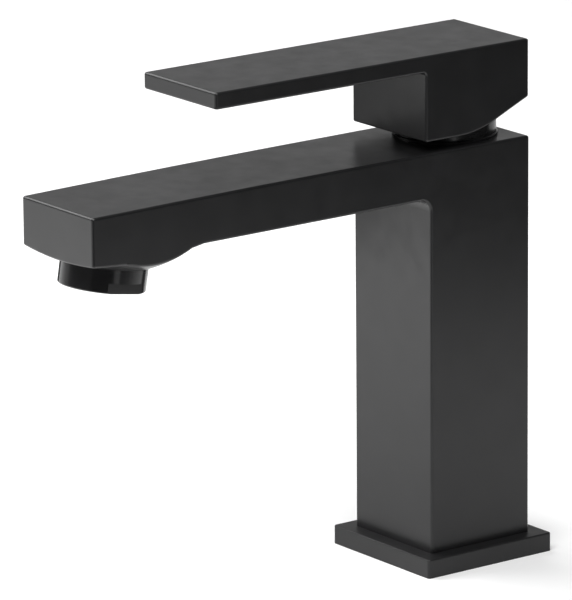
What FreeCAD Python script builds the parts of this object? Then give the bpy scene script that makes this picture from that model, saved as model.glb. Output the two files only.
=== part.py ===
"""Square single-lever bathroom basin mixer, built as an assembly of separate pieces.

Units are millimetres.  The origin is the centre of the base on the deck plane,
+Z is up and the spout points along -Y.  Every piece is written to parts/NAME.step.
"""
import FreeCAD, Part
import math
import os

V = FreeCAD.Vector

# ---- overall sizes -------------------------------------------------------
COLUMN_SIDE = 40.0        # square column
BASE_MARGIN = 5.25        # the square base plate stands out this far all round
BASE_SIDE = COLUMN_SIDE + 2 * BASE_MARGIN
BASE_THICK = 6.2
BASE_CORNER = 1.0
BODY_TOP = 138.4          # top of column and spout
REACH = 150.0             # column centre to spout tip
TIP_TAPER = 1.0           # the spout narrows this much on each side
TIP_WIDTH = COLUMN_SIDE - 2 * TIP_TAPER
SPOUT_DEPTH = 15.0        # depth of the spout where it leaves the column
SPOUT_DROOP = 1.0         # the top falls this much at the tip
SPOUT_FILLET = 4.0        # hollow between spout underside and column
TIP_CORNER = 1.0
EDGE_ROUND = 0.8          # small rounding along every outer edge
AXIS_Y = 1.3              # the cartridge axis stands this far behind the column centre

GASKET_OUTER = BASE_SIDE / 2 - 3.25   # rubber ring under the base plate
GASKET_INNER = GASKET_OUTER - 4.0
GASKET_THICK = 1.6

# ---- clearances ----------------------------------------------------------
RUN_FIT = 0.05            # radial gap of a pin or shaft that turns
SEAT_FIT = 0.05           # radial gap of a fitted, non-moving piece
CHAMBER_FIT = 0.1         # radial gap between the cartridge's flange and its chamber
SPIGOT_FIT = 0.15         # radial gap between the body's spigot and the base plate
SWING_GAP = 0.8           # gap kept between the lever and the dome it swings over

# ---- lever ---------------------------------------------------------------
LEVER_INSET = 0.85        # the lever is this much narrower on each side than the column
LEVER_WIDTH = COLUMN_SIDE - 2 * LEVER_INSET
LEVER_TOP = BODY_TOP + 31.5
LEVER_FRONT = 103.2       # reach of the paddle in front of the column centre
LEVER_REAR = COLUMN_SIDE / 2 + 0.4
PADDLE_THICK = 5.4
HEAD_FRONT = COLUMN_SIDE / 2 + 1.2   # front face of the lever's head
HEAD_GAP = 3.5            # gap between body top and lever head
TILT_MAX = 23.5           # degrees of lift, also the slope of the rear relief
RELIEF_RADIUS = 36.0      # arc that leads into the rear relief
RELIEF_START = -8.0
PADDLE_FILLET = 1.2
PIVOT_Z = BODY_TOP - 0.4  # height of the axis the lever tilts about
STEM_SIDE = 7.0
STEM_TOP = LEVER_TOP - 6.4
STEM_ARM = 10.0           # pivot axis to the ball that pushes the disc
BALL_RADIUS = 2.4
GRUB_Z = LEVER_TOP - 9.9
GRUB_RADIUS = 2.5         # M5
PLUG_RADIUS = 4.0
PLUG_DEPTH = 2.6

# ---- cartridge (25 mm) ---------------------------------------------------
SEAT_Z = BODY_TOP - 30.9  # floor of the cartridge chamber
CARTRIDGE_RADIUS = 12.5
FLANGE_RADIUS = CARTRIDGE_RADIUS + 0.8
CHAMBER_RADIUS = FLANGE_RADIUS + CHAMBER_FIT
ORING_BORE = CARTRIDGE_RADIUS - 0.5
FLANGE_Z1 = BODY_TOP - 2.4
FLANGE_Z0 = FLANGE_Z1 - 6.0
SHELL_WALL = 1.6
HOUSING_BORE = CARTRIDGE_RADIUS - SHELL_WALL
HOUSING_TOP = BODY_TOP + 4.8
HOUSING_WALL = 1.8
BASE_FLANGE = 3.0         # thickness of the foot the housing stands on
BASE_TOP = SEAT_Z + 6.9
DISC_THICK = 3.5
INLET_X = 4.4             # centres of the two inlet ports
INLET_Y = -2.6
INLET_RADIUS = 1.8
OUTLET_Y = 5.0
OUTLET_RADIUS = 2.4
MOVING_DISC_RADIUS = HOUSING_BORE - 2.6   # leaves room for its travel
LOCATING_PEGS = [(0, -10.0), (8.0, 7.0)]   # keep the cartridge from turning
PEG_RADIUS = 1.25
ROTOR_TOP = PIVOT_Z + 5.8
ROTOR_SLOT = (-5.6, 6.6)  # room for the stem above the pivot
BALL_SLOT = (-7.0, 3.2)   # room for the ball below it
PIN_RADIUS = 1.25

# ---- dome, neck and cartridge nut ----------------------------------------
NUT_RADIUS = FLANGE_RADIUS + 0.7     # M28 x 1 outside
NUT_BORE = NUT_RADIUS - 3.5
ROTOR_HUB = NUT_BORE - 2.1
DOME_RADIUS = NUT_RADIUS + 2.5
DOME_SHOULDER = BODY_TOP + 6.5   # height where the straight wall turns into the dome
DOME_TOP = BODY_TOP + 11.0
DOME_OPENING = ROTOR_HUB + 1.4
DOME_WALL = 0.95
DOME_FOOT = 0.45          # foot ring beyond the straight wall
NECK_TOP = BODY_TOP + 5.0
NUT_TOP = BODY_TOP + 4.0

# ---- hose passage, inlets and stud ---------------------------------------
COLUMN_WALL = 4.0         # metal left outside the spigot
SPIGOT_RADIUS = COLUMN_SIDE / 2 - COLUMN_WALL
SPIGOT_Z = 1.2
PASSAGE_RADIUS = SPIGOT_RADIUS - 2.5
PASSAGE_TOP = 62.0
PORT_X = 7.4
PORT_Y = -2.6
PORT_RADIUS = 5.0         # M10 x 1
PORT_DEPTH = 11.0
STUD_Y = 8.8
STUD_RADIUS = 4.0         # M8
STUD_DEPTH = 14.0
SUPPLY_RADIUS = 2.3

# ---- aerator -------------------------------------------------------------
AER_Z = BODY_TOP - 28.7
AER_LEAN = 9.4            # degrees, lower rim leaning away from the column
AER_RADIUS = 13.8
AER_Y = -REACH + AER_RADIUS + 2.4    # centre of the aerator's lower rim
AER_SHOULDER = 7.6        # rim to boss face, along the aerator axis
AER_THREAD = AER_RADIUS - 1.8        # M24 x 1
AER_TOP = 13.0
AER_FLAT = AER_RADIUS - 1.6          # half the distance across the wrench flats
AER_FLAT_HEIGHT = 3.3
AER_BORE = AER_THREAD - 1.4
WASHER_THICK = 2.0
BELLY_RADIUS = 38.0       # dome that blends the aerator boss into the spout
BELLY_SHALLOW = 140.0     # wide shallow swell around it
BELLY_LOW = BODY_TOP - 18.9


# ---- helpers -------------------------------------------------------------
def box(x0, x1, y0, y1, z0, z1):
    return Part.makeBox(x1 - x0, y1 - y0, z1 - z0, V(x0, y0, z0))


def cyl(radius, z0, z1, x=0.0, y=0.0):
    return Part.makeCylinder(radius, z1 - z0, V(x, y, z0))


def ring(outer, inner, z0, z1, x=0.0, y=0.0):
    return cyl(outer, z0, z1, x, y).cut(cyl(inner, z0 - 1, z1 + 1, x, y))


def fuse(*shapes):
    first, rest = shapes[0], list(shapes[1:])
    return first.fuse(rest).removeSplitter()


def wire(*pieces):
    """Closed outline from straight runs and three-point arcs.

    Each piece is a point, or a pair (middle, end) for an arc.
    """
    edges = []
    here = pieces[0]
    for piece in list(pieces[1:]) + [pieces[0]]:
        if isinstance(piece, tuple):
            middle, end = piece
            edges.append(Part.Arc(here, middle, end).toShape())
        else:
            end = piece
            if end.distanceToPoint(here) > 1e-6:
                edges.append(Part.makeLine(here, end))
        here = end
    return Part.Wire(edges)


def side_prism(half_width, *pieces):
    """Extrude an outline drawn in the YZ plane over both sides of the middle."""
    face = Part.Face(wire(*pieces))
    prism = face.extrude(V(2 * half_width, 0, 0))
    prism.translate(V(-half_width, 0, 0))
    return prism


def revolve(*pieces):
    """Turn an outline drawn in the XZ plane about the Z axis."""
    return Part.Face(wire(*pieces)).revolve(V(0, 0, 0), V(0, 0, 1), 360)


def upright_edges(shape, picks):
    """Straight vertical edges of a shape that pass the test picks(x, y)."""
    found = []
    for edge in shape.Edges:
        a, b = edge.Vertexes[0].Point, edge.Vertexes[-1].Point
        if math.hypot(a.x - b.x, a.y - b.y) < 1e-4 and abs(a.z - b.z) > 1 and picks(a.x, a.y):
            found.append(edge)
    return found


def edges_at_height(shape, z):
    return [e for e in shape.Edges if all(abs(v.Z - z) < 1e-4 for v in e.Vertexes)]


def round_outline(shape, radius, floor):
    """Round every sharp edge of the upright outer faces, except those at the floor height."""
    sharp = []
    for edge in shape.Edges:
        middle = edge.valueAt((edge.FirstParameter + edge.LastParameter) / 2)
        normals = []
        for face in shape.ancestorsOfType(edge, Part.Face):
            normals.append(face.normalAt(*face.Surface.parameter(middle)))
        upright = any(abs(normal.z) < 0.02 for normal in normals)
        turn = math.degrees(normals[0].getAngle(normals[-1]))
        if upright and turn > 15 and abs(middle.z - floor) > 0.01:
            sharp.append(edge)
    return shape.makeFillet(radius, sharp)


def on_aerator_axis(shape):
    """Move a shape built around Z with its lower rim at z = 0 to its place in the spout."""
    placed = shape.copy()
    placed.rotate(V(0, 0, 0), V(1, 0, 0), -AER_LEAN)
    placed.translate(V(0, AER_Y, AER_Z))
    return placed


def on_cartridge_axis(shape):
    """Move a shape built around Z onto the cartridge axis."""
    placed = shape.copy()
    placed.translate(V(0, AXIS_Y, 0))
    return placed


def save(name, shape):
    shape.exportStep("parts/%s.step" % name)


# ---- body ----------------------------------------------------------------
def spout_plan(z0, z1):
    """Plan of the spout: straight-sided, narrowing from column to tip."""
    c, t = COLUMN_SIDE / 2, TIP_WIDTH / 2
    corners = [V(-c, -c, z0), V(-t, -REACH, z0), V(t, -REACH, z0), V(c, -c, z0),
               V(c, 0, z0), V(-c, 0, z0), V(-c, -c, z0)]
    prism = Part.Face(Part.makePolygon(corners)).extrude(V(0, 0, z1 - z0))
    tip = upright_edges(prism, lambda x, y: y < -REACH + 1)
    return prism.makeFillet(TIP_CORNER, tip)


def spout():
    front = -COLUMN_SIDE / 2
    under = BODY_TOP - SPOUT_DEPTH
    tip_under = under - 0.6
    quarter = SPOUT_FILLET * math.sqrt(0.5)
    outline = side_prism(
        COLUMN_SIDE,
        V(0, -REACH, BODY_TOP - SPOUT_DROOP),
        V(0, -REACH, tip_under),
        V(0, front - SPOUT_FILLET, under),
        (V(0, front - SPOUT_FILLET + quarter, under - SPOUT_FILLET + quarter),
         V(0, front, under - SPOUT_FILLET)),
        V(0, front / 2, under - SPOUT_FILLET),
        V(0, front / 2, BODY_TOP),
        V(0, front, BODY_TOP),
        (V(0, (front - REACH) / 2, BODY_TOP - 0.25 * SPOUT_DROOP),
         V(0, -REACH, BODY_TOP - SPOUT_DROOP)),
    )
    return outline.common(spout_plan(SEAT_Z, BODY_TOP + 1))


def belly():
    """Swelling under the tip that carries the aerator."""
    rise = math.sqrt(BELLY_RADIUS ** 2 - AER_RADIUS ** 2)
    dome = Part.makeSphere(BELLY_RADIUS, V(0, 0, AER_SHOULDER + rise))
    dome = on_aerator_axis(dome.common(cyl(BELLY_RADIUS, AER_SHOULDER, 30)))
    swell = Part.makeSphere(BELLY_SHALLOW, V(0, -REACH + 17, BELLY_LOW + BELLY_SHALLOW))
    room = spout_plan(SEAT_Z, BODY_TOP - SPOUT_DEPTH + 2)
    return dome.common(room), swell.common(room)


def waterway():
    """Hollow of the spout, from the cartridge chamber to the aerator."""
    floor = BODY_TOP - SPOUT_DEPTH + 2.8
    main = box(-13.5, 13.5, -REACH + 6, -COLUMN_SIDE / 2 - 2, floor, floor + 8.6)
    main = main.makeFillet(2.0, [e for e in main.Edges if abs(e.tangentAt(0).y) > 0.9])
    entry = box(-11, 11, -COLUMN_SIDE / 2 - 4, -11, floor - 0.8, floor + 4.0)
    socket = cyl(AER_THREAD + SEAT_FIT, AER_SHOULDER - 1, AER_TOP + WASHER_THICK)
    socket = socket.fuse(cyl(AER_THREAD - 2, AER_TOP, AER_TOP + WASHER_THICK + 5))
    return [main, entry, on_aerator_axis(socket)]


def supply_channel(side):
    """Slanting bore from a hose inlet to its port in the cartridge seat."""
    low = V(side * (PORT_X - 0.4), PORT_Y, PASSAGE_TOP + PORT_DEPTH - 2)
    high = V(side * INLET_X, AXIS_Y + INLET_Y, SEAT_Z + 1)
    return Part.makeCylinder(SUPPLY_RADIUS, (high - low).Length, low, high - low)


def body_casting():
    half = COLUMN_SIDE / 2
    outside = fuse(box(-half, half, -half, half, BASE_THICK, BODY_TOP), spout(), *belly())
    solid = fuse(
        round_outline(outside, EDGE_ROUND, BASE_THICK),
        cyl(SPIGOT_RADIUS, SPIGOT_Z, BASE_THICK + 1),
        on_cartridge_axis(cyl(DOME_RADIUS - DOME_WALL - SEAT_FIT, BODY_TOP - 1, NECK_TOP)),
    )
    chamber = [
        cyl(CHAMBER_RADIUS, SEAT_Z, BODY_TOP),
        cyl(NUT_RADIUS, FLANGE_Z0 + 4, NECK_TOP + 1),
    ]
    for x, y in LOCATING_PEGS:
        chamber.append(cyl(PEG_RADIUS + SEAT_FIT, SEAT_Z - 2.2, SEAT_Z + 1, x, y))
    hollows = [on_cartridge_axis(shape) for shape in chamber] + [
        cyl(PASSAGE_RADIUS, 0, PASSAGE_TOP),
        cyl(STUD_RADIUS, PASSAGE_TOP - 1, PASSAGE_TOP + STUD_DEPTH, 0, STUD_Y),
    ]
    for side in (-1, 1):
        hollows.append(cyl(PORT_RADIUS, PASSAGE_TOP - 1, PASSAGE_TOP + PORT_DEPTH,
                           side * PORT_X, PORT_Y))
        hollows.append(supply_channel(side))
    return solid.cut(hollows + waterway())


def base_plate():
    half = BASE_SIDE / 2
    plate = box(-half, half, -half, half, 0, BASE_THICK)
    plate = plate.makeFillet(BASE_CORNER, upright_edges(plate, lambda x, y: True))
    plate = plate.makeFillet(0.5, edges_at_height(plate, BASE_THICK))
    plate = plate.cut(cyl(SPIGOT_RADIUS + SPIGOT_FIT, -1, BASE_THICK + 1))
    return plate.cut(ring(GASKET_OUTER, GASKET_INNER, -1, GASKET_THICK))


def base_gasket():
    return ring(GASKET_OUTER - SEAT_FIT, GASKET_INNER + SEAT_FIT, 0, GASKET_THICK)


# ---- dome, nut and cartridge shell ---------------------------------------
def dome_cover():
    outer, inner = DOME_RADIUS, DOME_RADIUS - DOME_WALL
    rise = DOME_TOP - DOME_SHOULDER
    run = outer - DOME_OPENING

    def arc_point(radius, run_, z, rise_, share):
        angle = math.radians(90 * share)
        return V(radius - run_ * (1 - math.cos(angle)), 0, z + rise_ * math.sin(angle))

    return revolve(
        V(inner, 0, BODY_TOP),
        V(outer + DOME_FOOT, 0, BODY_TOP),
        V(outer + DOME_FOOT, 0, BODY_TOP + 0.7),
        V(outer, 0, BODY_TOP + 1.0),
        V(outer, 0, DOME_SHOULDER),
        (arc_point(outer, run, DOME_SHOULDER, rise, 0.5),
         V(DOME_OPENING, 0, DOME_TOP)),
        V(DOME_OPENING, 0, DOME_TOP - DOME_WALL),
        (arc_point(inner, run - DOME_WALL, DOME_SHOULDER - 0.5, rise - DOME_WALL + 0.5, 0.5),
         V(inner, 0, DOME_SHOULDER - 0.5)),
    )


def cartridge_nut():
    nut = ring(NUT_RADIUS - SEAT_FIT, NUT_BORE, FLANGE_Z1, NUT_TOP)
    notches = []
    for turn in range(6):
        notch = box(NUT_BORE + 1.2, NUT_RADIUS + 1, -1.3, 1.3, NUT_TOP - 2, NUT_TOP + 1)
        notch.rotate(V(0, 0, 0), V(0, 0, 1), 60 * turn)
        notches.append(notch)
    return nut.cut(notches)


def cartridge_housing():
    foot = SEAT_Z + BASE_FLANGE
    shell = fuse(
        cyl(CARTRIDGE_RADIUS, foot, FLANGE_Z0),
        cyl(FLANGE_RADIUS, FLANGE_Z0, FLANGE_Z1),
        cyl(NUT_BORE - SEAT_FIT, FLANGE_Z1, HOUSING_TOP),
    )
    return shell.cut([
        cyl(HOUSING_BORE, foot - 1, FLANGE_Z1 - HOUSING_WALL),
        cyl(ROTOR_HUB + 4 * RUN_FIT, foot, HOUSING_TOP + 1),
        ring(FLANGE_RADIUS + 1, ORING_BORE, FLANGE_Z0 + 1.6, FLANGE_Z0 + 3.6),
    ])


def cartridge_oring():
    ring_ = ring(CHAMBER_RADIUS, ORING_BORE, FLANGE_Z0 + 1.6, FLANGE_Z0 + 3.6)
    return ring_.makeFillet(0.5, [e for e in ring_.Edges if e.Closed and len(e.Vertexes) == 1
                                  and abs(e.Vertexes[0].X - CHAMBER_RADIUS) < 1e-4
                                  and isinstance(e.Curve, Part.Circle)])


def inlet_centres():
    return [(-INLET_X, INLET_Y), (INLET_X, INLET_Y)]


def cartridge_base():
    foot = SEAT_Z + BASE_FLANGE
    shape = fuse(
        cyl(CARTRIDGE_RADIUS, SEAT_Z, foot),
        cyl(HOUSING_BORE - SEAT_FIT, foot, BASE_TOP),
        *[cyl(PEG_RADIUS, SEAT_Z - 2.0, SEAT_Z + 1, x, y) for x, y in LOCATING_PEGS],
    )
    cuts = [
        cyl(OUTLET_RADIUS, SEAT_Z + 0.8, BASE_TOP + 1, 0, OUTLET_Y),
        cyl(OUTLET_RADIUS + 1.1, BASE_TOP - 1.0, BASE_TOP + 1, 0, OUTLET_Y),
        box(-6, 6, OUTLET_Y - 2, CARTRIDGE_RADIUS + 1, SEAT_Z + 0.8, foot - 0.3),
    ]
    for x, y in inlet_centres():
        cuts.append(cyl(INLET_RADIUS, SEAT_Z - 1, BASE_TOP + 1, x, y))
        cuts.append(cyl(INLET_RADIUS + 2.2, SEAT_Z - 1, SEAT_Z + 1.5, x, y))
        cuts.append(cyl(INLET_RADIUS + 1.1, BASE_TOP - 1.0, BASE_TOP + 1, x, y))
    return shape.cut(cuts)


def inlet_seals():
    outer, inner = INLET_RADIUS + 2.2 - SEAT_FIT, SUPPLY_RADIUS + 0.2
    return Part.makeCompound([ring(outer, inner, SEAT_Z, SEAT_Z + 1.5, x, y)
                              for x, y in inlet_centres()])


def disc_seals():
    rings = [ring(INLET_RADIUS + 1.1 - SEAT_FIT, INLET_RADIUS + 0.05, BASE_TOP - 1.0, BASE_TOP, x, y)
             for x, y in inlet_centres()]
    rings.append(ring(OUTLET_RADIUS + 1.1 - SEAT_FIT, OUTLET_RADIUS + 0.05,
                      BASE_TOP - 1.0, BASE_TOP, 0, OUTLET_Y))
    return Part.makeCompound(rings)


def fixed_ceramic_disc():
    disc = cyl(HOUSING_BORE - SEAT_FIT, BASE_TOP, BASE_TOP + DISC_THICK)
    holes = [cyl(INLET_RADIUS, BASE_TOP - 1, BASE_TOP + DISC_THICK + 1, x, y)
             for x, y in inlet_centres()]
    holes.append(cyl(OUTLET_RADIUS, BASE_TOP - 1, BASE_TOP + DISC_THICK + 1, 0, OUTLET_Y))
    return disc.cut(holes)


# ---- the disc pack that slides and turns ---------------------------------
DISC_Y = STEM_ARM * math.sin(math.radians(TILT_MAX)) / 2   # rest position, half the travel
MOVING_Z = BASE_TOP + DISC_THICK
CARRIER_Z = MOVING_Z + DISC_THICK
CARRIER_TOP = PIVOT_Z - STEM_ARM + BALL_RADIUS / 2
PEG_SPREAD = 5.6


def pegs(radius, z0, z1):
    return [cyl(radius, z0, z1, side * PEG_SPREAD, DISC_Y - 2.0) for side in (-1, 1)]


def moving_ceramic_disc():
    disc = cyl(MOVING_DISC_RADIUS, MOVING_Z, CARRIER_Z, 0, DISC_Y)
    hollow = box(-3.8, 3.8, 0.4, 8.2, MOVING_Z - 1, MOVING_Z + 1.6)
    return disc.cut([hollow] + pegs(1.2 + SEAT_FIT, CARRIER_Z - 1.4, CARRIER_Z + 1))


def disc_carrier():
    block = cyl(MOVING_DISC_RADIUS, CARRIER_Z, CARRIER_TOP, 0, DISC_Y)
    block = fuse(block, *pegs(1.2, CARRIER_Z - 1.3, CARRIER_Z + 1))
    slot = BALL_RADIUS + 0.2
    floor = PIVOT_Z - STEM_ARM - BALL_RADIUS - 0.3
    return block.cut(box(-slot, slot, -slot, slot, floor, CARRIER_TOP + 1))


# ---- the rotor and its pin -----------------------------------------------
def cartridge_rotor():
    under = CARRIER_TOP + 0.3
    shoulder = FLANGE_Z1 - HOUSING_WALL - 0.1
    turned = fuse(
        cyl(HOUSING_BORE - 2 * RUN_FIT, under, shoulder),
        cyl(ROTOR_HUB, shoulder, ROTOR_TOP),
    )
    wide = STEM_SIDE / 2 + 0.1
    pin = Part.makeCylinder(PIN_RADIUS + 0.02, 2 * ROTOR_HUB, V(-ROTOR_HUB, 0, PIVOT_Z), V(1, 0, 0))
    return turned.cut([
        box(-wide, wide, ROTOR_SLOT[0], ROTOR_SLOT[1], under - 1, ROTOR_TOP + 1),
        box(-wide, wide, BALL_SLOT[0], BALL_SLOT[1], under - 1, shoulder - 1),
        pin,
    ])


def pivot_pin():
    length = 2 * ROTOR_HUB - 0.8
    return Part.makeCylinder(PIN_RADIUS, length, V(-length / 2, 0, PIVOT_Z), V(1, 0, 0))


# ---- the lever group -----------------------------------------------------
def lever_stem():
    half = STEM_SIDE / 2
    eye = Part.makeCylinder(4.0, STEM_SIDE, V(-half, 0, PIVOT_Z), V(1, 0, 0))
    stem = fuse(
        box(-half, half, -half, half, PIVOT_Z + 1, STEM_TOP),
        eye,
        cyl(2.0, PIVOT_Z - STEM_ARM, PIVOT_Z - 3),
        Part.makeSphere(BALL_RADIUS, V(0, 0, PIVOT_Z - STEM_ARM)),
    )
    bore = Part.makeCylinder(PIN_RADIUS + RUN_FIT, 2 * STEM_SIDE, V(-STEM_SIDE, 0, PIVOT_Z), V(1, 0, 0))
    dimple = Part.makeCone(2.2, 0.0, 1.0, V(0, half, GRUB_Z), V(0, -1, 0))
    return stem.cut([bore, dimple])


def head_underside():
    """Points of the lever's lower edge from the rear face forward to the front face."""
    low = BODY_TOP + HEAD_GAP
    slope = math.radians(TILT_MAX)
    end_y = RELIEF_START + RELIEF_RADIUS * math.sin(slope)
    end_z = low + RELIEF_RADIUS * (1 - math.cos(slope))
    mid_y = RELIEF_START + RELIEF_RADIUS * math.sin(slope / 2)
    mid_z = low + RELIEF_RADIUS * (1 - math.cos(slope / 2))
    rear_z = end_z + (LEVER_REAR - end_y) * math.tan(slope)
    return low, rear_z, V(0, end_y, end_z), V(0, mid_y, mid_z)


def lever_handle():
    low, rear_z, relief_end, relief_mid = head_underside()
    under = LEVER_TOP - PADDLE_THICK
    corner = PADDLE_FILLET * (1 - math.sqrt(0.5))
    shape = side_prism(
        LEVER_WIDTH / 2,
        V(0, -LEVER_FRONT, LEVER_TOP),
        V(0, LEVER_REAR, LEVER_TOP),
        V(0, LEVER_REAR, rear_z),
        relief_end,
        (relief_mid, V(0, RELIEF_START, low)),
        V(0, -HEAD_FRONT, low),
        V(0, -HEAD_FRONT, under - PADDLE_FILLET),
        (V(0, -HEAD_FRONT - corner, under - corner),
         V(0, -HEAD_FRONT - PADDLE_FILLET, under)),
        V(0, -LEVER_FRONT, under),
    )
    paddle = upright_edges(shape, lambda x, y: y < -LEVER_FRONT + 1)
    shape = shape.makeFillet(TIP_CORNER, paddle)
    shape = round_outline(shape, EDGE_ROUND, 0)
    reach = math.hypot(DOME_RADIUS, DOME_SHOULDER - PIVOT_Z) + SWING_GAP
    room = Part.makeSphere(reach, V(0, 0, PIVOT_Z))
    wide = DOME_RADIUS + SWING_GAP
    room = room.common(box(-wide, wide, -reach, reach, low - 2, PIVOT_Z + reach))
    side = STEM_SIDE / 2 + SEAT_FIT
    socket = box(-side, side, -side, side, PIVOT_Z + reach - 3, STEM_TOP + 0.5)
    screw = Part.makeCylinder(GRUB_RADIUS, LEVER_REAR, V(0, 0, GRUB_Z), V(0, 1, 0))
    plug = Part.makeCylinder(PLUG_RADIUS, PLUG_DEPTH + 1, V(0, LEVER_REAR + 1, GRUB_Z), V(0, -1, 0))
    return shape.cut([on_cartridge_axis(room), on_cartridge_axis(socket), screw, plug])


def grub_screw():
    start = STEM_SIDE / 2
    screw = Part.makeCylinder(GRUB_RADIUS - SEAT_FIT, 8.0, V(0, start, GRUB_Z), V(0, 1, 0))
    corners = [V(1.44 * math.cos(math.radians(60 * i)), start + 5.5,
                 GRUB_Z + 1.44 * math.sin(math.radians(60 * i))) for i in range(7)]
    socket = Part.Face(Part.makePolygon(corners)).extrude(V(0, 4, 0))
    return screw.cut(socket)


def index_plug():
    seat = LEVER_REAR - PLUG_DEPTH
    plug = Part.makeCylinder(PLUG_RADIUS - SEAT_FIT, PLUG_DEPTH, V(0, seat, GRUB_Z), V(0, 1, 0))
    return plug.makeFillet(0.4, [e for e in plug.Edges if abs(e.CenterOfMass.y - LEVER_REAR) < 1e-4])


# ---- aerator -------------------------------------------------------------
def aerator_housing():
    shape = fuse(
        cyl(AER_RADIUS, 0, AER_SHOULDER),
        cyl(AER_THREAD, AER_SHOULDER, AER_TOP),
    )
    rim = [e for e in shape.Edges if isinstance(e.Curve, Part.Circle)
           and e.Curve.Radius > AER_RADIUS - 0.1 and abs(e.CenterOfMass.z) < 1e-4]
    shape = shape.makeFillet(0.5, rim)
    cuts = [cyl(AER_BORE, 1.2, AER_TOP + 1), cyl(AER_BORE - 0.9, -1, 2)]
    for side in (-1, 1):
        x0, x1 = sorted((side * AER_FLAT, side * (AER_RADIUS + 1)))
        cuts.append(box(x0, x1, -AER_RADIUS, AER_RADIUS, -1, AER_FLAT_HEIGHT))
    return shape.cut(cuts)


def aerator_insert():
    """Plastic core with a comb of outlet holes and a mixing chamber above it."""
    core = fuse(cyl(AER_BORE - SEAT_FIT, 1.2, 10.0), cyl(AER_BORE - 1.0, 0.6, 1.4))
    pitch = 3.2
    holes = [cyl(AER_BORE - 1.6, 3.6, 11.0)]
    for row in range(-3, 4):
        for column in range(-3, 4):
            x = pitch * (column + 0.5 * (row % 2))
            y = pitch * row * math.sqrt(0.75)
            if math.hypot(x, y) < AER_BORE - 2.6:
                holes.append(cyl(1.25, 0, 4, x, y))
    return core.cut(holes)


def aerator_screen():
    """Domed strainer that stands on the rim of the core."""
    z = 10.0
    rim = ring(AER_BORE - SEAT_FIT, AER_BORE - 2.0, z, z + 1.2)
    plate = cyl(AER_BORE - 1.9, z + 0.4, z + 1.2)
    pitch = 2.6
    holes = []
    for row in range(-3, 4):
        for column in range(-3, 4):
            x = pitch * (column + 0.5 * (row % 2))
            y = pitch * row * math.sqrt(0.75)
            if math.hypot(x, y) < AER_BORE - 3.2:
                holes.append(cyl(0.8, z - 1, z + 3, x, y))
    return fuse(rim, plate).cut(holes)


def aerator_washer():
    return ring(AER_THREAD - SEAT_FIT, AER_THREAD - 1.9, AER_TOP, AER_TOP + WASHER_THICK)


ON_THE_DECK = [body_casting, base_plate, base_gasket, lever_handle, index_plug]
ON_CARTRIDGE_AXIS = [
    dome_cover, cartridge_nut, cartridge_housing, cartridge_oring, cartridge_base,
    inlet_seals, disc_seals, fixed_ceramic_disc, moving_ceramic_disc, disc_carrier,
    cartridge_rotor, pivot_pin, lever_stem, grub_screw,
]
IN_THE_SPOUT = [aerator_housing, aerator_insert, aerator_screen, aerator_washer]

os.makedirs("parts", exist_ok=True)
for make in ON_THE_DECK:
    save(make.__name__, make())
for make in ON_CARTRIDGE_AXIS:
    save(make.__name__, on_cartridge_axis(make()))
for make in IN_THE_SPOUT:
    save(make.__name__, on_aerator_axis(make()))
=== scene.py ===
"""Looks of the square single-lever basin mixer: coatings, rubber, ceramic and brass,
the aerator's woven strainer, the two-colour index plug, floor, lights and camera."""
import math

import bmesh
import bpy
from mathutils import Matrix, Vector


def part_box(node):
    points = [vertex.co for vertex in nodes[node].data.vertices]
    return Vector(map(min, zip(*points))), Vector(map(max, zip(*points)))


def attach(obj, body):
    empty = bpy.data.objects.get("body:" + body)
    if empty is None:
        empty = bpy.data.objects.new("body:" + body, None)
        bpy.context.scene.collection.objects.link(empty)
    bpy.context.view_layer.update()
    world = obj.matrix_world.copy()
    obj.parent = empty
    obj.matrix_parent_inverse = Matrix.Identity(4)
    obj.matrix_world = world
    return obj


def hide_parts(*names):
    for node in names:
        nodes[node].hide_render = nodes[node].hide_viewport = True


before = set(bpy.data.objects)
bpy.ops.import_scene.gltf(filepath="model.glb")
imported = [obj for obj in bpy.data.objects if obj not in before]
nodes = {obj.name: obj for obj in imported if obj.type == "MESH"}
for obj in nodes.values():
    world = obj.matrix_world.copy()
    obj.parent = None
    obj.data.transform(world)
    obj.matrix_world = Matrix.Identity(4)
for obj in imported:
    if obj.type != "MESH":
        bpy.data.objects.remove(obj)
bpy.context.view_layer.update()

MM = 0.001
AERATOR_LEAN = math.radians(9.4)      # the strainer leans with the aerator


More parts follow.
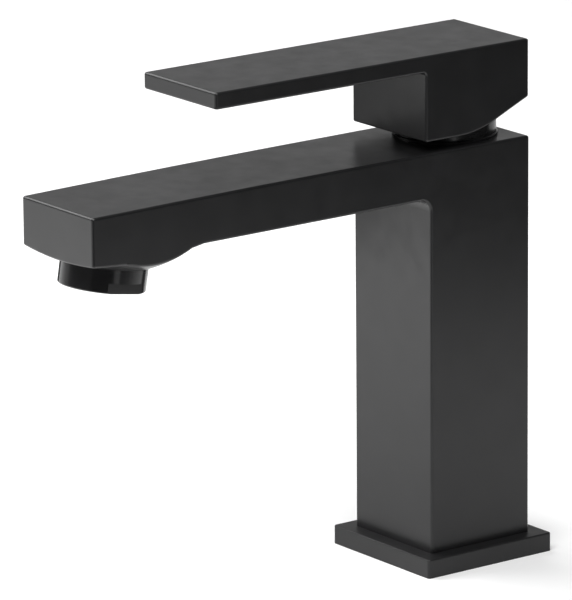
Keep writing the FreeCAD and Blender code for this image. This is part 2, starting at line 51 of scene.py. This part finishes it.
# ---- small helpers for materials ------------------------------------------
class Finish:
    """A procedural material under construction, with its Principled shader."""

    def __init__(self, name, colour, roughness, **sockets):
        self.material = bpy.data.materials.new(name)
        self.material.use_nodes = True
        self.tree = self.material.node_tree
        self.shader = self.tree.nodes["Principled BSDF"]
        self.shader.inputs["Base Color"].default_value = (*colour, 1.0)
        self.shader.inputs["Roughness"].default_value = roughness
        for socket, value in sockets.items():
            self.shader.inputs[socket.replace("_", " ")].default_value = value
        self.coords = self.tree.nodes.new("ShaderNodeTexCoord").outputs["Object"]
        self.colour, self.roughness = colour, roughness
        self.heights = []

    def link(self, source, target):
        self.tree.links.new(source, target)

    def stretched(self, scale):
        """Object coordinates scaled differently along each axis."""
        mapping = self.tree.nodes.new("ShaderNodeMapping")
        mapping.inputs["Scale"].default_value = scale
        self.link(self.coords, mapping.inputs["Vector"])
        return mapping.outputs["Vector"]

    def noise(self, grain, detail=2.0, rough=0.5, coords=None):
        """Noise whose features are about `grain` metres across."""
        node = self.tree.nodes.new("ShaderNodeTexNoise")
        node.inputs["Scale"].default_value = 1.0 / grain
        node.inputs["Detail"].default_value = detail
        node.inputs["Roughness"].default_value = rough
        self.link(coords or self.coords, node.inputs["Vector"])
        return node.outputs["Fac"]

    def ramp(self, value, low, high, at=(0.3, 0.7)):
        """Map a 0..1 value to low..high."""
        node = self.tree.nodes.new("ShaderNodeMapRange")
        node.inputs["From Min"].default_value = at[0]
        node.inputs["From Max"].default_value = at[1]
        node.inputs["To Min"].default_value = low
        node.inputs["To Max"].default_value = high
        self.link(value, node.inputs["Value"])
        return node.outputs["Result"]

    def vary_roughness(self, value, spread, at=(0.3, 0.7)):
        low, high = self.roughness - spread, self.roughness + spread
        self.link(self.ramp(value, low, high, at), self.shader.inputs["Roughness"])
        return self

    def vary_colour(self, value, other, at=(0.3, 0.7)):
        mix = self.tree.nodes.new("ShaderNodeMix")
        mix.data_type = "RGBA"
        self.link(self.ramp(value, 0.0, 1.0, at), mix.inputs["Factor"])
        mix.inputs["A"].default_value = (*self.colour, 1.0)
        mix.inputs["B"].default_value = (*other, 1.0)
        self.link(mix.outputs["Result"], self.shader.inputs["Base Color"])
        return self

    def emboss(self, value, depth):
        """Surface relief of about `depth` metres."""
        bump = self.tree.nodes.new("ShaderNodeBump")
        bump.inputs["Strength"].default_value = 1.0
        bump.inputs["Distance"].default_value = depth
        self.link(value, bump.inputs["Height"])
        if self.heights:
            self.link(self.heights[-1], bump.inputs["Normal"])
        self.heights.append(bump.outputs["Normal"])
        self.link(bump.outputs["Normal"], self.shader.inputs["Normal"])
        return self


def black_coating(name, colour=(0.010, 0.010, 0.0105), roughness=0.30):
    """Satin matt black coating: fine orange peel, faint cloudiness and gloss drift."""
    lighter = tuple(1.25 * c for c in colour)
    finish = Finish(name, colour, roughness, Specular_IOR_Level=0.5)
    finish.vary_colour(finish.noise(0.018, 3.0), lighter)
    finish.vary_roughness(finish.noise(0.007, 3.0), 0.03)
    finish.emboss(finish.noise(0.0011, 1.0), 0.0000025)
    return finish.material


def rubber(name):
    finish = Finish(name, (0.018, 0.018, 0.018), 0.72)
    finish.vary_roughness(finish.noise(0.003), 0.06)
    finish.emboss(finish.noise(0.0002, 3.0), 0.00001)
    return finish.material


def moulded_plastic(name, colour, roughness=0.45):
    darker = tuple(0.88 * c for c in colour)
    finish = Finish(name, colour, roughness)
    finish.vary_colour(finish.noise(0.01, 2.0), darker)
    finish.vary_roughness(finish.noise(0.004, 3.0), 0.05)
    finish.emboss(finish.noise(0.0003, 3.0), 0.000006)
    return finish.material


def turned_metal(name, colour, roughness, axis_grain=(1.0, 1.0, 60.0)):
    """Machined metal with fine tool marks across one axis."""
    darker = tuple(0.8 * c for c in colour)
    finish = Finish(name, colour, roughness, Metallic=1.0)
    marks = finish.noise(0.004, 2.0, 0.6, finish.stretched(axis_grain))
    finish.vary_colour(finish.noise(0.006, 3.0), darker)
    finish.vary_roughness(marks, 0.08)
    finish.emboss(marks, 0.00001)
    return finish.material


def lapped_ceramic(name, colour):
    finish = Finish(name, colour, 0.16, Coat_Weight=0.3, Coat_Roughness=0.08)
    finish.vary_colour(finish.noise(0.002, 4.0), tuple(0.93 * c for c in colour))
    finish.vary_roughness(finish.noise(0.003, 3.0), 0.04)
    finish.emboss(finish.noise(0.0004, 3.0), 0.000002)
    return finish.material


def woven_wire(name):
    finish = Finish(name, (0.60, 0.60, 0.60), 0.28, Metallic=1.0)
    finish.vary_roughness(finish.noise(0.0008, 3.0), 0.08)
    finish.emboss(finish.noise(0.0002, 2.0), 0.000005)
    return finish.material


def two_colour_plug(name, centre_x):
    """Gloss plastic, one half for hot and the other for cold."""
    finish = Finish(name, (0.50, 0.02, 0.02), 0.22, Coat_Weight=0.4, Coat_Roughness=0.1)
    split = finish.tree.nodes.new("ShaderNodeSeparateXYZ")
    finish.link(finish.coords, split.inputs[0])
    finish.vary_colour(split.outputs["X"], (0.015, 0.06, 0.42),
                       at=(centre_x - 0.00005, centre_x + 0.00005))
    finish.vary_roughness(finish.noise(0.002, 3.0), 0.05)
    finish.emboss(finish.noise(0.0004, 2.0), 0.000004)
    return finish.material


def dress(node, material):
    """Give a CAD node its finish."""
    mesh = nodes[node].data
    mesh.materials.clear()
    mesh.materials.append(material)


dress("body_casting", black_coating("satin_black_body", roughness=0.32))
dress("base_plate", black_coating("satin_black_plate", roughness=0.42))
dress("lever_handle", black_coating("satin_black_lever", roughness=0.34))
dress("dome_cover", black_coating("satin_black_dome", roughness=0.22))
dress("aerator_housing", black_coating("satin_black_aerator", roughness=0.17))
for seal in ("base_gasket", "cartridge_oring", "inlet_seals", "disc_seals", "aerator_washer"):
    dress(seal, rubber("sealing_rubber_" + seal))
dress("cartridge_nut", turned_metal("machined_brass", (0.78, 0.57, 0.27), 0.30))
dress("cartridge_housing", moulded_plastic("cartridge_white", (0.78, 0.78, 0.75)))
dress("cartridge_base", moulded_plastic("cartridge_grey_blue", (0.30, 0.36, 0.45)))
dress("disc_carrier", moulded_plastic("carrier_grey_blue", (0.30, 0.36, 0.45)))
dress("cartridge_rotor", moulded_plastic("rotor_grey", (0.45, 0.46, 0.48)))
dress("fixed_ceramic_disc", lapped_ceramic("lapped_ceramic_fixed", (0.88, 0.87, 0.83)))
dress("moving_ceramic_disc", lapped_ceramic("lapped_ceramic_moving", (0.84, 0.82, 0.77)))
dress("pivot_pin", turned_metal("pin_steel", (0.62, 0.62, 0.62), 0.25, (60.0, 1.0, 1.0)))
dress("grub_screw", turned_metal("screw_steel", (0.55, 0.55, 0.55), 0.3, (1.0, 60.0, 1.0)))
dress("lever_stem", turned_metal("stem_metal", (0.60, 0.58, 0.53), 0.32))
dress("aerator_insert", moulded_plastic("aerator_core", (0.045, 0.045, 0.047), 0.5))
dress("index_plug", two_colour_plug("hot_cold_plug", 0.0))


# ---- the aerator's woven strainer -------------------------------------------
STRAINER_SIZES = {"Radius": 10.0 * MM, "Pitch": 0.9 * MM, "Wire Radius": 0.17 * MM,
                  "Rim Radius": 0.55 * MM, "Wires Each Side": 10}
POINTS_ALONG_WIRE = 88
WIRE_SIDES = 6
RIM_STEPS = 72
RIM_SIDES = 12


def strainer_tree(material):
    """Geometry Nodes group: two crossing layers of waved wire inside a round rim."""
    tree = bpy.data.node_groups.new("woven_strainer", "GeometryNodeTree")
    face = tree.interface
    for name in ("Radius", "Pitch", "Wire Radius", "Rim Radius"):
        face.new_socket(name, in_out="INPUT", socket_type="NodeSocketFloat")
    face.new_socket("Wires Each Side", in_out="INPUT", socket_type="NodeSocketInt")
    face.new_socket("Geometry", in_out="OUTPUT", socket_type="NodeSocketGeometry")
    given = tree.nodes.new("NodeGroupInput").outputs

    def add(kind, links=(), **settings):
        node = tree.nodes.new(kind)
        for name, value in settings.items():
            setattr(node, name, value)
        for socket, value in dict(links).items():
            if isinstance(value, bpy.types.NodeSocket):
                tree.links.new(value, node.inputs[socket])
            else:
                node.inputs[socket].default_value = value
        return node

    def maths(operation, *values):
        return add("ShaderNodeMath", enumerate(values), operation=operation).outputs[0]

    side = given["Wires Each Side"]
    rows = add("GeometryNodeMeshLine", {
        "Count": maths("ADD", maths("MULTIPLY", side, 2.0), 1.0),
        "Start Location": add("ShaderNodeCombineXYZ", {
            "Y": maths("MULTIPLY", maths("MULTIPLY", side, -1.0), given["Pitch"])}).outputs[0],
        "Offset": add("ShaderNodeCombineXYZ", {"Y": given["Pitch"]}).outputs[0]})
    wire = add("GeometryNodeResampleCurve", {
        "Curve": add("GeometryNodeCurvePrimitiveLine", {
            "Start": (-1.0, 0.0, 0.0), "End": (1.0, 0.0, 0.0)}).outputs[0],
        "Count": POINTS_ALONG_WIRE})
    place = add("ShaderNodeSeparateXYZ", {0: add("GeometryNodeInputPosition").outputs[0]}).outputs
    chord = maths("SQRT", maths("SUBTRACT", maths("POWER", given["Radius"], 2.0),
                                maths("POWER", place["Y"], 2.0)))
    laid = add("GeometryNodeInstanceOnPoints", {
        "Points": rows.outputs[0], "Instance": wire.outputs[0],
        "Scale": add("ShaderNodeCombineXYZ", {"X": chord, "Y": 1.0, "Z": 1.0}).outputs[0]})
    phase = maths("DIVIDE", maths("MULTIPLY", maths("ADD", place["X"], place["Y"]), math.pi),
                  given["Pitch"])
    wave = maths("MULTIPLY", maths("SINE", phase), given["Wire Radius"])
    waved = add("GeometryNodeSetPosition", {
        "Geometry": add("GeometryNodeRealizeInstances", {0: laid.outputs[0]}).outputs[0],
        "Offset": add("ShaderNodeCombineXYZ", {"Z": wave}).outputs[0]})
    section = add("GeometryNodeCurvePrimitiveCircle", {
        "Resolution": WIRE_SIDES, "Radius": given["Wire Radius"]})
    layer = add("GeometryNodeCurveToMesh", {
        "Curve": waved.outputs[0], "Profile Curve": section.outputs[0], "Fill Caps": True})
    crossing = add("GeometryNodeTransform", {
        "Geometry": layer.outputs[0], "Rotation": (math.pi, 0.0, math.pi / 2)})
    rim = add("GeometryNodeCurveToMesh", {
        "Curve": add("GeometryNodeCurvePrimitiveCircle", {
            "Resolution": RIM_STEPS, "Radius": given["Radius"]}).outputs[0],
        "Profile Curve": add("GeometryNodeCurvePrimitiveCircle", {
            "Resolution": RIM_SIDES, "Radius": given["Rim Radius"]}).outputs[0]})
    whole = add("GeometryNodeJoinGeometry")
    for part in (layer, crossing, rim):
        tree.links.new(part.outputs[0], whole.inputs[0])
    solid = add("GeometryNodeRealizeInstances", {0: whole.outputs[0]})
    finished = add("GeometryNodeSetMaterial", {"Geometry": solid.outputs[0], "Material": material})
    tree.links.new(finished.outputs[0], tree.nodes.new("NodeGroupOutput").inputs[0])
    return tree


def woven_strainer():
    """Strainer standing on the aerator's core, in place of its plain disc."""
    tree = strainer_tree(woven_wire("strainer_wire"))
    maker = bpy.data.objects.new("strainer_maker", bpy.data.meshes.new("strainer_maker"))
    bpy.context.scene.collection.objects.link(maker)
    weave = maker.modifiers.new("weave", "NODES")
    weave.node_group = tree
    for item in tree.interface.items_tree:
        if item.in_out == "INPUT":
            weave[item.identifier] = STRAINER_SIZES[item.name]
    evaluated = maker.evaluated_get(bpy.context.evaluated_depsgraph_get())
    mesh = bpy.data.meshes.new_from_object(evaluated)
    mesh.name = "woven_strainer"
    low, high = (Vector(corner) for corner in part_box("aerator_screen"))
    mesh.transform(Matrix.Translation((low + high) / 2)
                   @ Matrix.Rotation(-AERATOR_LEAN, 4, "X"))
    for polygon in mesh.polygons:
        polygon.use_smooth = len(polygon.vertices) == 4      # the wires' end caps stay flat
    bpy.data.objects.remove(maker)
    strainer = bpy.data.objects.new("woven_strainer", mesh)
    bpy.context.scene.collection.objects.link(strainer)
    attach(strainer, "mixer_body")
    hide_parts("aerator_screen")


woven_strainer()


# ---- floor, lights, camera --------------------------------------------------
def pale_floor():
    """White floor that curves up into a wall behind the mixer."""
    mesh = bpy.data.meshes.new("studio_floor")
    bm = bmesh.new()
    half, wall, bend, steps, side = 4.0, 3.0, 0.8, 16, 6.0
    profile = [(-half, 0.0)]
    for i in range(steps + 1):
        a = math.radians(90 * i / steps)
        profile.append((half - bend + bend * math.sin(a), bend - bend * math.cos(a)))
    profile.append((half, wall))
    rows = [[bm.verts.new((x, y, z)) for x in (-side, side)] for y, z in profile]
    for a, b in zip(rows, rows[1:]):
        bm.faces.new((a[0], a[1], b[1], b[0]))
    bm.normal_update()
    bm.to_mesh(mesh)
    bm.free()
    for polygon in mesh.polygons:
        polygon.use_smooth = True
    floor = bpy.data.objects.new("studio_floor", mesh)
    bpy.context.scene.collection.objects.link(floor)
    paint = Finish("studio_white", (0.93, 0.93, 0.93), 0.7)
    paint.vary_roughness(paint.noise(0.4), 0.05)
    mesh.materials.append(paint.material)
    return floor


pale_floor()


def softbox(name, place, aim, size, radiance):
    """Rectangular soft light that shows only through what it lights."""
    data = bpy.data.lights.new(name, "AREA")
    data.shape = "RECTANGLE"
    data.size, data.size_y = size
    data.energy = radiance * math.pi * size[0] * size[1]
    light = bpy.data.objects.new(name, data)
    light.location = place
    light.rotation_euler = (Vector(aim) - Vector(place)).to_track_quat("-Z", "Y").to_euler()
    light.visible_camera = False
    bpy.context.scene.collection.objects.link(light)


def dark_flag(name, place, aim, size):
    """Black studio cloth that only the coating's reflections can see."""
    mesh = bpy.data.meshes.new(name)
    bm = bmesh.new()
    bmesh.ops.create_grid(bm, x_segments=4, y_segments=4, size=0.5)
    turn = (Vector(aim) - Vector(place)).to_track_quat("Z", "Y").to_matrix().to_4x4()
    bm.transform(Matrix.Translation(place) @ turn @ Matrix.Diagonal((*size, 1.0, 1.0)))
    bm.to_mesh(mesh)
    bm.free()
    flag = bpy.data.objects.new(name, mesh)
    bpy.context.scene.collection.objects.link(flag)
    cloth = Finish("black_flag_cloth", (0.01, 0.01, 0.01), 0.9)
    cloth.vary_roughness(cloth.noise(0.02), 0.05)
    mesh.materials.append(cloth.material)
    flag.visible_camera = flag.visible_diffuse = flag.visible_shadow = False
    return flag


# name, place, aim, size in metres and radiance
for softbox_row in (
        ("key_softbox", (-0.95, -0.40, 1.1), (-0.2, 0.1, 0.0), (1.4, 1.4), 3.9),
        ("floor_softbox", (0.45, -0.50, 1.25), (0.10, -0.05, 0.0), (1.2, 1.2), 5.0),
        ("front_card", (-0.25, -0.26, 0.030), (0.0, -0.075, 0.045), (0.36, 0.05), 0.65),
        ("aerator_card", (-0.33, -0.40, 0.125), (0.0, -0.136, 0.115), (0.14, 0.07), 0.5),
        ("back_card", (-1.25, 0.95, 0.40), (0.0, -0.05, 0.09), (1.0, 0.8), 0.45),
):
    softbox(*softbox_row)

# name, place, aim and size in metres
for flag_row in (
        ("rear_right_flag", (0.25, 0.13, 0.205), (0.0, -0.057, 0.205), (0.55, 0.37)),
        ("rim_flag", (-0.115, -0.068, 0.108), (0.0, -0.136, 0.108), (0.16, 0.072)),
        ("front_right_flag", (0.25, -0.30, 0.055), (0.10, -0.12, 0.44), (0.36, 0.42)),
):
    dark_flag(*flag_row)

world = bpy.data.worlds.new("studio")
world.use_nodes = True
world.node_tree.nodes["Background"].inputs["Color"].default_value = (1.0, 1.0, 1.0, 1.0)
world.node_tree.nodes["Background"].inputs["Strength"].default_value = 0.12
bpy.context.scene.world = world

view = bpy.context.scene.view_settings
view.view_transform = "Standard"
view.look = "None"
view.exposure = 0.0
view.gamma = 0.92

CAMERA_PLACE = (1.543682, -1.215452, 0.606934)
CAMERA_BACK = (0.774222, -0.578167, 0.257495)        # from the mixer towards the camera
CAMERA_ROLL = math.radians(-0.456)
SENSOR_WIDTH = 36.0
FOCAL_LENGTH = 378.4

lens = bpy.data.cameras.new("camera")
lens.sensor_width = SENSOR_WIDTH
lens.lens = FOCAL_LENGTH
lens.clip_start = 0.1
lens.clip_end = 100.0
camera = bpy.data.objects.new("camera", lens)
back = Vector(CAMERA_BACK).normalized()
side = Vector((0.0, 0.0, 1.0)).cross(back).normalized()
turn = Matrix((side, back.cross(side), back)).transposed().to_4x4()
camera.matrix_world = (Matrix.Translation(CAMERA_PLACE) @ turn
                       @ Matrix.Rotation(CAMERA_ROLL, 4, "Z"))
bpy.context.scene.collection.objects.link(camera)
bpy.context.scene.camera = camera
